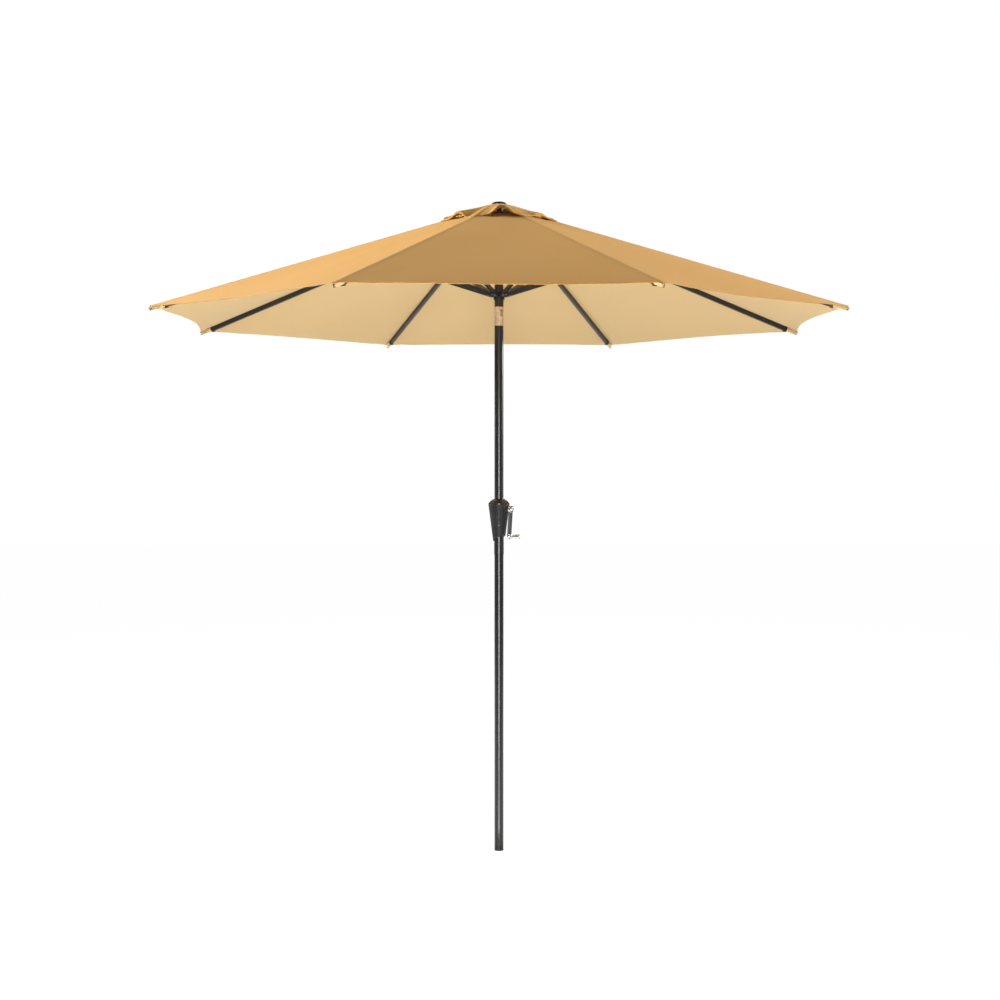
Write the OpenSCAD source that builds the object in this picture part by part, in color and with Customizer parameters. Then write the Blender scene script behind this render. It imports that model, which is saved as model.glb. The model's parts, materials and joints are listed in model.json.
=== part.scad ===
// Crank-and-tilt patio umbrella: eight ribs, vented canopy, two-piece pole.
// Origin at the centre of the pole's lower end, +Z up the pole. Millimetres.

/* [Pole] */
// Outside diameter of the pole tubes
pole_d = 35; // [32:0.5:36]
// Wall of the pole tubes
pole_wall = 1.2; // [1:0.1:2]
// Height at which the lower pole meets the upper pole
pole_joint_z = 1226; // [1222:1:1232]
// Lower end of the split sleeve at the pole joint
sleeve_z = 1145; // [1100:1:1160]

/* [Crank] */
// Height of the crank shaft
crank_z = 1320; // [1315:0.5:1322]
// Direction of the crank around the pole, in degrees from +X
crank_az = -30; // [-90:5:90]
// Throw of the crank, shaft to knob
crank_throw = 105; // [80:1:110]
// Largest radius of the crank housing
housing_r = 41.5; // [40:0.5:43]
// Radius of the crank housing at its lower end
housing_low_r = 22.5; // [22:0.5:26]

/* [Tilt joint] */
// Height of the tilt pivot
tilt_z = 2079; // [2070:1:2085]
// Height of the tilt button
tilt_button_z = 2050; // [2048:0.5:2051]

/* [Canopy frame] */
// Height of the rib pivots at the top hub
hub_z = 2455; // [2440:1:2470]
// Radius of the circle of rib pivots
pivot_r = 33; // [32:0.5:36]
// Slope of the open ribs below level, in degrees
rib_drop = 18.2; // [15:0.1:22]
// Distance along a rib from its hub pivot to its strut pivot, and length of a strut
arm = 490; // [470:1:500]
// Radius of the canopy at its corners
canopy_r = 1350; // [1250:5:1400]
// Width of the rib tubes
rib_w = 12; // [11:0.5:13]
// Height of the rib tubes
rib_h = 18; // [16:0.5:20]

/* [Canopy fabric] */
// Thickness of the canopy solids
cloth = 2; // [1.5:0.1:3]
// Radius of the vent opening in the main canopy at its corners
vent_r = 185; // [150:5:200]
// Radius of the vent cap at its corners
cap_r = 238; // [220:2:250]
// Rise of the cap's free edge between two ribs
cap_arch = 32; // [20:1:36]
// Inward curve of the hem between two ribs
hem_scallop = 52; // [30:1:70]
// Downward sag of the hem between two ribs
hem_sag = 19; // [5:1:30]

/* [Hidden] */
$fn = 64;

black = "#1c1c1e";
chrome = "#d8d8d8";
tan = "#c9a878";
sand = "#c8a064";

slack = 0.02;        // between fixed pieces of one body
running = 0.06;      // radial clearance of a turning fit
pole_r = pole_d / 2;
bore_r = pole_r - pole_wall;
plug_r = bore_r - 0.1;
tilt_az = crank_az - 90;
half_step = 22.5;    // half the angle between two ribs
rib_step = 45;

runner_z = hub_z - 2 * arm * sin(rib_drop);
rib_base = 10;       // underside of a rib above its pivot line
rib_top = rib_base + rib_h;
rib_end = 1318;      // tube length along the pivot line
tip_end = (canopy_r - pivot_r) / cos(rib_drop) - 8;
tang_w = 8;
strut_w = 11;
strut_h = 14;
pin_r = 3;
eye_r = 7.5;         // round eye at each end of a rib or strut
saddle_t = 2;

knob_len = 40;
arm_x0 = 52;         // middle of the crank arm from the pole axis, at its hub
arm_x1 = 45;         // and at its knob
arm_t = 8;

// Turns the children so that +X points along a rib, at its hub pivot, down its slope
module along_rib(i) {
    rotate([0, 0, half_step + rib_step * (i - 1)])
        translate([pivot_r, 0, hub_z])
            rotate([0, rib_drop, 0])
                children();
}

// A round bar along Y, centred
module bar_y(r, w) {
    rotate([90, 0, 0])
        cylinder(r = r, h = w, center = true);
}

// A round bar along +X from x0 to x1
module bar_x(r, x0, x1) {
    translate([x0, 0, 0])
        rotate([0, 90, 0])
            cylinder(r = r, h = x1 - x0);
}

module tube(ro, ri, z0, z1) {
    translate([0, 0, z0])
        difference() {
            cylinder(r = ro, h = z1 - z0);
            translate([0, 0, -1])
                cylinder(r = ri, h = z1 - z0 + 2);
        }
}

// ---- sweeping a round section along a list of points ----
function unit(v) = v / norm(v);
function tangent(p, i) = unit(p[min(i + 1, len(p) - 1)] - p[max(i - 1, 0)]);
function ring(c, t, side, r, n) =
    let (u = unit(cross(t, side)), v = cross(t, u))
    [for (k = [0:n - 1]) c + r * (cos(360 * k / n) * u + sin(360 * k / n) * v)];
module sweep(p, r, n, side) {
    rings = [for (i = [0:len(p) - 1]) ring(p[i], tangent(p, i), side, r, n)];
    points = [for (a = rings) each a];
    last = (len(p) - 1) * n;
    walls = [for (i = [0:len(p) - 2], k = [0:n - 1])
        [i * n + k, i * n + (k + 1) % n, (i + 1) * n + (k + 1) % n, (i + 1) * n + k]];
    polyhedron(points, concat([[for (k = [n - 1:-1:0]) k]], walls,
        [[for (k = [0:n - 1]) last + k]]));
}
function coil(r, pitch, turns, per_turn) =
    [for (k = [0:turns * per_turn])
        let (a = 360 * k / per_turn) [r * cos(a), r * sin(a), pitch * k / per_turn]];

// ---- pole ----
lock_z = 1187;
lock_az = -73;
lock_r = 4.5;
screw_z = 1258;

module lock_hole() {
    rotate([0, 0, lock_az])
        translate([0, 0, lock_z])
            bar_x(lock_r + running, 8, 30);
}

neck_r = pole_r - 0.3;    // reduced top end of the lower pole, inside the sleeve

module lower_pole() {
    color(black)
        difference() {
            rotate_extrude()
                polygon([[bore_r, 0], [pole_r, 0], [pole_r, sleeve_z - 1], [neck_r, sleeve_z - 1],
                    [neck_r, pole_joint_z - 0.3], [bore_r, pole_joint_z - 0.3]]);
            lock_hole();
        }
}

module foot_plug() {
    color(black) {
        translate([0, 0, 0.6])
            cylinder(r = plug_r, h = 5);
        tube(plug_r, plug_r - 3, 5, 42);
    }
}

module upper_pole() {
    color(black)
        difference() {
            tube(pole_r, bore_r, pole_joint_z, tilt_z - 49.5);
            rotate([0, 0, crank_az])
                translate([0, 0, crank_z])
                    bar_x(6 + running, -30, 30);
            housing_screw_holes();
        }
}

module coupling_tube() {
    color("silver")
        difference() {
            tube(plug_r, plug_r - 1.6, 1090, 1268);
            lock_hole();
            housing_screw_holes();
        }
}

module joint_sleeve() {
    slot_w = 2.4;
    color(black)
        difference() {
            tube(pole_r + 1.1, neck_r + slack, sleeve_z, pole_joint_z - 8);
            lock_hole();
            rotate([0, 0, -96])
                translate([pole_r - 2, -slot_w / 2, sleeve_z - 1])
                    cube([5, slot_w, 90]);
        }
}

module lock_button() {
    color("silver")
        rotate([0, 0, lock_az])
            translate([0, 0, lock_z]) {
                bar_x(lock_r, 13, 19.8);
                bar_x(lock_r + 1.6, 11.4, 13);
            }
}

module lock_spring() {
    color("silver")
        rotate([0, 0, lock_az])
            translate([0, 4, lock_z])
                rotate([90, 0, 0])
                    linear_extrude(8)
                        polygon([[11.2, 6], [10.4, 6], [10.4, -8], [0.6, -52], [-10.4, -8], [-13.4, 6],
                            [-13.8, 5.4], [-11.2, -8.4], [0.6, -56], [11.2, -8.4]]);
}

// ---- crank housing and winding gear ----
module housing_screw_holes() {
    for (a = [60, 180, 300])
        rotate([0, 0, crank_az + a])
            translate([0, 0, screw_z])
                bar_x(1.7, 10, 50);
}

module crank_housing() {
    wall = 2.6;
    top_z = crank_z + 20;
    low_z = crank_z - 124;
    cut = 27;
    color(black)
        difference() {
            rotate_extrude()
                polygon([[pole_r + 1.6, low_z], [housing_low_r, low_z], [housing_r - 0.6, top_z - 2],
                    [housing_r - 1.6, top_z], [housing_r - 4, top_z], [housing_r - 4.4, top_z - 14],
                    [housing_low_r + 0.6, low_z + 60], [pole_r + 1.6, low_z + 44]]);
            rotate([0, 0, crank_az])
                translate([-housing_low_r, -60, low_z])
                    rotate([0, -cut, 0])
                        translate([-20, 0, -80])
                            cube([160, 120, 80]);
            rotate([0, 0, crank_az])
                translate([0, 0, crank_z])
                    bar_x(13 + slack, 20, 60);
            for (a = [60, 180, 300])
                rotate([0, 0, crank_az + a])
                    translate([0, 0, screw_z]) {
                        bar_x(1.8, 10, 50);
                        bar_x(3.6, housing_low_r + 5.4, 60);
                    }
        }
}

module housing_cap() {
    base_z = crank_z + 20.1;
    color("#0c0c0d")
        difference() {
            rotate_extrude()
                polygon([[pole_r + 0.1, base_z + 20], [pole_r + 3, base_z + 19.6], [26, base_z + 16.6],
                    [33, base_z + 11.6], [38, base_z + 6], [housing_r, base_z + 1.2], [housing_r, base_z],
                    [housing_r - 8, base_z], [30, base_z + 8], [pole_r + 0.1, base_z + 14]]);
        }
}

module housing_screws() {
    color("dimgray")
        for (a = [60, 180, 300])
            rotate([0, 0, crank_az + a])
                translate([0, 0, screw_z])
                    difference() {
                        union() {
                            bar_x(1.6, 14.7, housing_low_r + 5.6);
                            bar_x(3.3, housing_low_r + 5.5, housing_low_r + 7.6);
                        }
                        translate([housing_low_r + 6.8, 0, 0])
                            for (turn = [0, 90])
                                rotate([turn, 0, 0])
                                    translate([0, -0.4, -2.2])
                                        cube([2, 0.8, 4.4]);
                    }
}

module at_crank() {
    rotate([0, 0, crank_az])
        translate([0, 0, crank_z])
            children();
}

module crank_bush() {
    color(black)
        at_crank()
            difference() {
                union() {
                    bar_x(13, 30, 46);
                    bar_x(9.5, 46, 46.8);
                }
                bar_x(6 + running, 20, 60);
            }
}

module brake_spring() {
    color("silver")
        at_crank()
            translate([18.8, 0, 0])
                rotate([0, 90, 0])
                    sweep(coil(7.6, 1.9, 5, 12), 0.8, 8, [0, 0, 1]);
}

module crank_shaft() {
    color(chrome)
        at_crank() {
            bar_x(6, -21, 57.9);
            bar_x(7.2, -22.6, -21);
        }
}

drum_r = 8.2;
module winding_drum() {
    color("dimgray")
        at_crank()
            difference() {
                union() {
                    bar_x(drum_r, -8, 8);
                    bar_x(13, -8, -6.4);
                    bar_x(13, 6.4, 8);
                }
                bar_x(6 + slack, -20, 20);
            }
}

module crank_arm() {
    lean = atan((arm_x0 - arm_x1) / crank_throw);
    color(chrome)
        at_crank()
            difference() {
                union() {
                    bar_x(13.4, 47.2, 57.6);
                    translate([arm_x0 + 0.4, 0, 0])
                        rotate([0, lean, 0]) {
                            translate([-arm_t / 2, -10, -crank_throw])
                                cube([arm_t, 20, crank_throw]);
                            translate([0, 0, -crank_throw])
                                bar_x(10, -arm_t / 2, arm_t / 2);
                        }
                }
                bar_x(6 + slack, 40, 58);
                translate([0, 0, -crank_throw])
                    bar_x(pin_r + slack, 30, 60);
            }
}

module knob_pin() {
    color("silver")
        at_crank() {
            translate([0, 0, -crank_throw]) {
                bar_x(pin_r, arm_x1 - 3, arm_x1 + 4 + knob_len - 2.4);
                bar_x(4.4, arm_x1 + 4 + knob_len - 2.4, arm_x1 + 4 + knob_len - 0.8);
            }
            bar_x(6.4, 58, 60);
        }
}

module crank_knob() {
    color(chrome)
        at_crank()
            translate([arm_x1 + 5, 0, -crank_throw])
                rotate([0, 90, 0])
                    rotate_extrude()
                        polygon([[pin_r + running, 0.2], [6.4, 0.2], [7, 1.2], [6.2, 5], [6.4, 14], [8.2, 26],
                            [9.2, 33], [9.2, 37], [8.2, knob_len - 0.6], [5, knob_len - 0.4],
                            [5, knob_len - 4], [pin_r + running, knob_len - 4]]);
}

// ---- tilt joint ----
module at_tilt() {
    rotate([0, 0, tilt_az])
        translate([0, 0, tilt_z])
            children();
}
lobe_r = pole_r - 0.1;
tongue_w = 24;
button_r = 5;
low = tilt_button_z - tilt_z;

module tilt_socket() {
    color(tan)
        at_tilt()
            difference() {
                union() {
                    translate([0, 0, -92])
                        cylinder(r = plug_r, h = 44);
                    difference() {
                        translate([0, 0, -49.2])
                            cylinder(r = pole_r, h = 37.4);
                        rotate([0, 90, 0])
                            cylinder(r = lobe_r + 0.5, h = 60, center = true);
                    }
                    intersection() {
                        translate([-tongue_w / 2, -14, -38])
                            cube([tongue_w, 28, 60]);
                        union() {
                            rotate([0, 90, 0])
                                cylinder(r = 13.4, h = 60, center = true);
                            translate([-30, -9, -36])
                                cube([60, 18, 36]);
                        }
                        translate([0, 0, -40])
                            cylinder(r = pole_r - 0.6, h = 64);
                    }
                }
                translate([0, 0, -100])
                    cylinder(r = 4.4, h = 140);
                bar_x(4 + slack, -30, 30);
                translate([0, 0, low])
                    bar_x(button_r + running, 6.2, 30);
            }
}

module tilt_pins() {
    color("silver")
        at_tilt()
            intersection() {
                union() {
                    bar_x(4, 5.4, 30);
                    bar_x(4, -30, -5.4);
                }
                translate([0, 0, -20])
                    cylinder(r = pole_r + 0.45, h = 40);
            }
}

module tilt_head() {
    slot = tongue_w + 0.8;
    color(tan)
        at_tilt()
            difference() {
                union() {
                    cylinder(r = pole_r, h = 24);
                    translate([0, 0, 24])
                        cylinder(r = plug_r, h = 40);
                    intersection() {
                        rotate([0, 90, 0])
                            cylinder(r = lobe_r, h = 60, center = true);
                        translate([0, 0, -30])
                            cylinder(r = pole_r, h = 40);
                    }
                }
                translate([-slot / 2, -30, -30])
                    cube([slot, 60, 44.4]);
                translate([0, 0, 10])
                    cylinder(r1 = 3.4, r2 = 6, h = 60);
                bar_x(4 + running, 8, 30);
                bar_x(4 + running, -30, -8);
            }
}

module tilt_button() {
    color("silver")
        at_tilt()
            translate([0, 0, low])
                intersection() {
                    bar_x(button_r, 11.6, 30);
                    translate([0, 0, -10])
                        cylinder(r = pole_r + 0.5, h = 20);
                }
}

module tilt_button_spring() {
    color("silver")
        at_tilt()
            translate([7.2, 0, low])
                rotate([0, 90, 0])
                    sweep(coil(3.6, 1.2, 3, 12), 0.4, 8, [0, 0, 1]);
}

// ---- head: tube, hub, pulley, finial ----
eye_gap = 0.5;
pulley_az = 90;
pulley_x = 11.5;
pulley_r = 8.5;
pulley_z = hub_z + 4;

module top_tube() {
    color(black)
        tube(pole_r, bore_r, tilt_z + 24.2, hub_z - 19.2);
}

// Pairs of cheeks around a slot, one pair at each rib
module eyes(z, slot, cheek, inner_r, hole_r) {
    for (i = [0:7])
        rotate([0, 0, half_step + rib_step * i])
            translate([0, 0, z])
                difference() {
                    union() {
                        translate([pivot_r, 0, 0])
                            bar_y(6, slot + 2 * cheek);
                        translate([inner_r, -slot / 2 - cheek, -6])
                            cube([pivot_r - inner_r, slot + 2 * cheek, 12]);
                    }
                    translate([inner_r + 3, -slot / 2, -12])
                        cube([40, slot, 24]);
                    translate([pivot_r, 0, 0])
                        bar_y(hole_r, 40);
                }
}

module top_hub() {
    slot = tang_w + eye_gap;
    color(black) {
        difference() {
            union() {
                translate([0, 0, hub_z - 19])
                    cylinder(r = 21, h = 36);
                translate([0, 0, hub_z - 55])
                    cylinder(r = plug_r, h = 36.5);
                translate([0, 0, hub_z + 17])
                    cylinder(r = 10, h = 25);
                eyes(hub_z, slot, 2.8, 17, pin_r + slack);
            }
            translate([0, 0, hub_z - 60])
                cylinder(r = 8.4, h = 56);
            rotate([0, 0, pulley_az])
                translate([-1.6, -3.2, hub_z - 24])
                    cube([40, 6.4, 39.8]);
            rotate([0, 0, pulley_az])
                translate([pulley_x, 0, pulley_z])
                    bar_y(2.5 + slack, 60);
            translate([0, 0, hub_z + 20])
                cylinder(r = 3 + slack, h = 30);
        }
    }
}

module rib_pins(z, r, w) {
    for (i = [0:7])
        rotate([0, 0, half_step + rib_step * i])
            translate([pivot_r, 0, z])
                bar_y(r, w);
}

module hub_pins() {
    color("silver")
        rib_pins(hub_z, pin_r, tang_w + 6.4);
}

module hub_pulley() {
    color("silver")
        rotate([0, 0, pulley_az])
            translate([pulley_x, 0, pulley_z])
                rotate([90, 0, 0])
                    rotate_extrude()
                        polygon([[2.5 + running, -2.6], [10.4, -2.6], [10.4, -2], [pulley_r, -1], [pulley_r, 1],
                            [10.4, 2], [10.4, 2.6], [2.5 + running, 2.6]]);
}

module pulley_pin() {
    color("silver")
        rotate([0, 0, pulley_az])
            translate([pulley_x, 0, pulley_z])
                bar_y(2.5, 26);
}

cap_z = hub_z + 43;

module cap_washer() {
    color(black)
        translate([0, 0, hub_z + 42.1])
            difference() {
                cylinder(r = 22, h = 1.4);
                translate([0, 0, -1])
                    cylinder(r = 3.3, h = 4);
            }
}

module finial() {
    color(black)
        translate([0, 0, cap_z + 3.4]) {
            rotate_extrude()
                polygon([[0, 0], [27, 0], [28.4, 1], [28.4, 2.4], [26, 4.6], [20, 7], [11, 8.8], [0, 9.6]]);
            translate([0, 0, -25])
                cylinder(r = 3, h = 26);
        }
}

// ---- runner ----
runner_bore = pole_r + 0.9;

module runner() {
    slot = strut_w + eye_gap;
    collar_r = runner_bore + 2.5;
    color(black)
        difference() {
            union() {
                translate([0, 0, runner_z - 18])
                    cylinder(r = collar_r, h = 38);
                translate([0, 0, runner_z + 13])
                    cylinder(r = collar_r + 2.4, h = 7);
                translate([0, 0, runner_z - 18])
                    cylinder(r = collar_r + 0.8, h = 3);
                eyes(runner_z, slot, 2.4, collar_r - 1.6, pin_r + slack);
            }
            translate([0, 0, runner_z - 30])
                cylinder(r = runner_bore, h = 70);
            rotate([0, 0, pulley_az])
                translate([runner_bore + 1.6, 0, runner_z + 8])
                    cylinder(r = 1.8, h = 20);
        }
}

module runner_pins() {
    color("silver")
        rib_pins(runner_z, pin_r, strut_w + 5);
}

// ---- ribs and struts ----
module rib(i) {
    color(black)
        along_rib(i) {
            difference() {
                union() {
                    bar_y(eye_r, tang_w);
                    translate([0, tang_w / 2, 0])
                        rotate([90, 0, 0])
                            linear_extrude(tang_w)
                                polygon([[-5.6, 5], [20, rib_top - 1.4], [64, rib_top - 1.4],
                                    [64, rib_base + 1.4], [22, rib_base + 1.4], [5.4, -5.2]]);
                    translate([24, -rib_w / 2, rib_base])
                        difference() {
                            cube([rib_end - 24, rib_w, rib_h]);
                            translate([-1, 1, 1])
                                cube([rib_end, rib_w - 2, rib_h - 2]);
                        }
                    translate([24, -rib_w / 2, rib_base])
                        cube([6, rib_w, rib_h]);
                }
                bar_y(pin_r + running, 40);
            }
            rib_saddle();
            rib_tip();
        }
}

// Bracket riveted under a rib, with the pin that carries the strut
module rib_saddle() {
    inner = rib_w / 2 + 0.05;
    outer = inner + saddle_t;
    difference() {
        for (side = [-1, 1])
            translate([arm, side * (inner + outer) / 2, 0]) {
                bar_y(eye_r, saddle_t);
                translate([-eye_r, -saddle_t / 2, 0])
                    cube([2 * eye_r, saddle_t, rib_base + 12]);
            }
        translate([arm, 0, 0])
            bar_y(pin_r + slack, 40);
    }
    translate([arm, 0, 0])
        bar_y(pin_r, 2 * outer + 2.4);
    for (side = [-1, 1])
        translate([arm, side * (outer + 0.55), rib_base + 6])
            bar_y(2.6, 1);
}

// Moulded end cap of the rib and the tip that the canopy pocket slips over
module rib_tip() {
    translate([rib_end - 6, -rib_w / 2 - 1, rib_base - 3])
        difference() {
            cube([10, rib_w + 2, rib_h + 4]);
            translate([-1, 0.95, 2.95])
                cube([7.1, rib_w + 0.1, rib_h + 0.1]);
        }
    translate([rib_end + 4, -4, rib_base + 5])
        cube([tip_end - rib_end - 8, 8, 10]);
    translate([tip_end - 5, 0, rib_base + 10])
        cylinder(r = 5, h = 11, center = true);
}

module strut(i) {
    color(black)
        rotate([0, 0, half_step + rib_step * (i - 1)])
            translate([pivot_r, 0, runner_z])
                rotate([0, -rib_drop, 0])
                    difference() {
                        union() {
                            for (x = [0, arm])
                                translate([x, 0, 0])
                                    bar_y(eye_r, strut_w);
                            translate([0, -strut_w / 2, -strut_h / 2])
                                cube([arm, strut_w, strut_h]);
                        }
                        translate([16, -strut_w / 2 + 1.2, -strut_h])
                            cube([arm - 32, strut_w - 2.4, 1.5 * strut_h - 1.2]);
                        for (x = [0, arm])
                            translate([x, 0, 0])
                                bar_y(pin_r + running, 40);
                    }
}

// ---- lift cord ----
cord_r = 1.5;
cord_line_r = pulley_r + 1.75;   // middle of the cord around the pulley
function over_pulley(k) = let (a = 180 - 22.5 * k)
    [pulley_x + cord_line_r * cos(a), pulley_z + cord_line_r * sin(a)];

module lift_cord_lower() {
    route = [[0, 10, crank_z + 1], [0, 9.6, crank_z + 20], [0, 8, crank_z + 60], [0, 4, crank_z + 140],
        [0, 1, crank_z + 240], [0, 0, crank_z + 340], [0, 0, 1900], [0, 0, tilt_z - 0.2]];
    color("white")
        rotate([0, 0, crank_az])
            sweep(route, cord_r, 8, [1, 0, 0]);
}

module lift_cord_upper() {
    climb = [for (z = [tilt_z + 0.2, 2200, 2320]) [0, z]];
    drop = [for (z = [hub_z - 60, hub_z - 160, runner_z + 12]) [runner_bore + 1.6, z]];
    route = concat(climb, [[1.2, hub_z - 30]], [for (k = [0:8]) over_pulley(k)], drop);
    color("white")
        rotate([0, 0, pulley_az])
            sweep([for (p = route) [p[0], 0, p[1]]], cord_r, 8, [0, 1, 0]);
}

// ---- canopy ----
cloth_gap = 2.4;       // between the rib tubes and the cloth
rib_line_top = hub_z + (rib_top + cloth_gap + cloth) / cos(rib_drop) + pivot_r * tan(rib_drop);
steps = 6;

// Height of the fabric's upper face over a rib, at radius r
function rib_height(r) = rib_line_top - r * tan(rib_drop);
// A point of the upper face: s runs from the vent to the hem, a is the angle from the rib
function canopy_point(s, a) =
    let (r = vent_r + (canopy_r - vent_r) * s,
        chord = r * cos(half_step) / cos(half_step - abs(a)),
        u = abs(a) / half_step,
        bow = u * (2 - u),
        rr = chord - hem_scallop * bow * pow(s, 3),
        lift = hem_scallop * bow * pow(s, 3) * tan(rib_drop) / cos(half_step))
    [rr * cos(a), rr * sin(a), rib_height(r) + lift - hem_sag * bow * pow(s, 1.5)];

module sheet(rows, t) {
    n = len(rows);
    m = len(rows[0]);
    top = [for (row = rows) each row];
    under = [for (p = top) p - [0, 0, t]];
    k = n * m;
    faces_top = [for (i = [0:n - 2], j = [0:m - 2])
        each [[i * m + j, i * m + j + 1, (i + 1) * m + j + 1], [i * m + j, (i + 1) * m + j + 1, (i + 1) * m + j]]];
    faces_under = [for (f = faces_top) [k + f[2], k + f[1], k + f[0]]];
    rim = concat([for (j = [0:m - 1]) j], [for (i = [1:n - 1]) i * m + m - 1],
        [for (j = [m - 2:-1:0]) (n - 1) * m + j], [for (i = [n - 2:-1:1]) i * m]);
    edge = [for (q = [0:len(rim) - 1]) let (a = rim[q], b = rim[(q + 1) % len(rim)]) [b, a, k + a, k + b]];
    polyhedron(concat(top, under), concat(faces_top, faces_under, edge));
}

module canopy_gore(i) {
    edge_gap = 0.03;
    angles = [for (u = [-1, -0.66, -0.33, 0, 0.33, 0.66, 1]) u * (half_step - edge_gap)];
    color(sand)
        rotate([0, 0, half_step + rib_step * (i - 1)])
            sheet([for (q = [0:steps]) [for (a = angles) canopy_point(q / steps, a)]], cloth);
}

// A point of the vent cap's upper face: s from the finial to the free edge, a from the panel's left rib
cap_in = 6;
function cap_point(s, a) =
    let (w = abs((a % rib_step) / half_step - 1),
        bow = 1 - w * w,
        r = cap_in + (cap_r - cap_in) * s,
        out = r * cos(half_step) / cos(half_step * w),
        z = cap_z + 2.6 + (rib_height(cap_r) + 3.4 - cap_z - 2.6) * max(0, r - 28) / (cap_r - 28))
    [out * cos(a + half_step), out * sin(a + half_step), z + cap_arch * bow * pow(s, 2)];

module vent_cap() {
    n = 48;
    rows = [for (s = [0, 0.1, 0.4, 0.7, 1]) [for (k = [0:n - 1]) cap_point(s, 360 * k / n)]];
    m = len(rows);
    top = [for (row = rows) each row];
    under = [for (p = top) p - [0, 0, 1.6]];
    t = m * n;
    walls = [for (i = [0:m - 2], k = [0:n - 1])
        let (a = i * n + k, b = i * n + (k + 1) % n) each [[a, b, b + n], [a, b + n, a + n]]];
    below = [for (f = walls) [t + f[2], t + f[1], t + f[0]]];
    outer = (m - 1) * n;
    rims = [for (k = [0:n - 1]) let (a = outer + k, b = outer + (k + 1) % n) [a, b, t + b, t + a]];
    inner = [for (k = [0:n - 1]) let (a = k, b = (k + 1) % n) [b, a, t + a, t + b]];
    color(sand)
        polyhedron(concat(top, under), concat(walls, below, rims, inner));
}

lower_pole();
foot_plug();
upper_pole();
coupling_tube();
joint_sleeve();
lock_button();
lock_spring();
crank_housing();
housing_cap();
housing_screws();
crank_bush();
brake_spring();
crank_shaft();
winding_drum();
crank_arm();
knob_pin();
crank_knob();
tilt_socket();
tilt_pins();
tilt_head();
tilt_button();
tilt_button_spring();
top_tube();
top_hub();
hub_pins();
hub_pulley();
pulley_pin();
cap_washer();
finial();
runner();
runner_pins();
lift_cord_lower();
lift_cord_upper();
vent_cap();
for (i = [1:8]) {
    rib(i);
    strut(i);
    canopy_gore(i);
}
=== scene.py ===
import bpy
import bmesh
import json
import math
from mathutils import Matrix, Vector


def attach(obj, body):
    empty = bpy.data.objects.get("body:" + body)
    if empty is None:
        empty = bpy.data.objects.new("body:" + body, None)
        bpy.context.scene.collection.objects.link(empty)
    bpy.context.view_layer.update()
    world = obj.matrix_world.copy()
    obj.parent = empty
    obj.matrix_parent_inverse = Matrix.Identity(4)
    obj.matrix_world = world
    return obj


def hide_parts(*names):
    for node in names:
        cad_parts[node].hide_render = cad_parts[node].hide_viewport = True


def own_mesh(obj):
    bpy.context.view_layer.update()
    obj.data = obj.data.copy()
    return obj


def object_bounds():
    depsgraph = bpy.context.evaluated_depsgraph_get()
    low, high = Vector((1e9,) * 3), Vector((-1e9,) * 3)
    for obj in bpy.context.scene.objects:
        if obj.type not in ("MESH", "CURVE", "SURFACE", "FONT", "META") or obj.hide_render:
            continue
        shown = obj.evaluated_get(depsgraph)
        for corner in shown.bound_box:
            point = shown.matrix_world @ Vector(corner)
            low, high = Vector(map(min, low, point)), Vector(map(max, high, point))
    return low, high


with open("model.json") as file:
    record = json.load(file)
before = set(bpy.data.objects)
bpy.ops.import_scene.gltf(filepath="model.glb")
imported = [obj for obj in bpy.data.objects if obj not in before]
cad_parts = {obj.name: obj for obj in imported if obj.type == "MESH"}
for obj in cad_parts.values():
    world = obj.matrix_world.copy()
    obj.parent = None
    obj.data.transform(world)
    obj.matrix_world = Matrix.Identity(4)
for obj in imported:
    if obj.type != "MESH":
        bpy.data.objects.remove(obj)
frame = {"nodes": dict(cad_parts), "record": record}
cadLow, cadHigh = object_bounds()

ribCount = 8
ribStep = math.radians(360 / ribCount)
halfStep = ribStep / 2


# camera, floor and light
studio = {
    "cameraDistance": 6.48,       # from the pole to the lens
    "cameraHeight": 1.4485,       # level camera, a little below the canopy
    "lens": 60.23,
    "sensor": 36,
    "shiftX": 0.00103,
    "shiftY": -0.024,
    "floorSize": 60.0,
    "floorGap": 0.0005,           # floor below the foot of the pole
    "floorGrey": 0.40,
    "floorRoughness": 0.9,
    "floorLight": 1.06,
    "floorGlow": 0.93,            # share of the floor that the camera sees as plain light
    "backdropLight": 1.02,        # what the camera sees behind the umbrella
    "roomLight": 0.18,            # what lights the umbrella from all round
    # name, power, size, place, aimed at
    "lights": [
        ("key", 1080.0, (2.6, 2.6), (-5.6, 2.2, 4.2), (0, 0, 2.2)),               # high, behind, to the left
        ("overhead", 30.0, (4.0, 4.0), (0.4, -0.4, 6.4), (0, 0, 2.2)),
        ("front_box", 35.0, (3.0, 3.4), (0.1, -7.6, 1.7), (0, 0, 1.5)),           # behind the camera
        ("right_box", 760.0, (2.6, 2.6), (5.8, 1.8, 3.6), (0, 0, 2.2)),
        ("pole_strip", 62.0, (0.45, 1.8), (0.02, -2.2, 0.9), (0, 0, 0.9)),        # narrow, before the pole
        ("floor_strip", 17.0, (0.35, 1.9), (0, -1.25, 0.01), (0, -1.25, 2.0)),    # for the foot of the pole
        ("bounce", 15.0, (5.0, 5.0), (0, 1.2, 0.02), (0, 1.2, 2.0)),              # thrown up by the floor
    ],
}


def areaLight(name, power, size, place, target):
    light = bpy.data.lights.new(name, "AREA")
    light.energy = power
    light.shape = "RECTANGLE"
    light.size, light.size_y = size
    lamp = bpy.data.objects.new(name, light)
    bpy.context.collection.objects.link(lamp)
    lamp.location = place
    lamp.rotation_euler = (Vector(target) - Vector(place)).to_track_quat("-Z", "Y").to_euler()
    lamp.visible_camera = False


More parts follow.
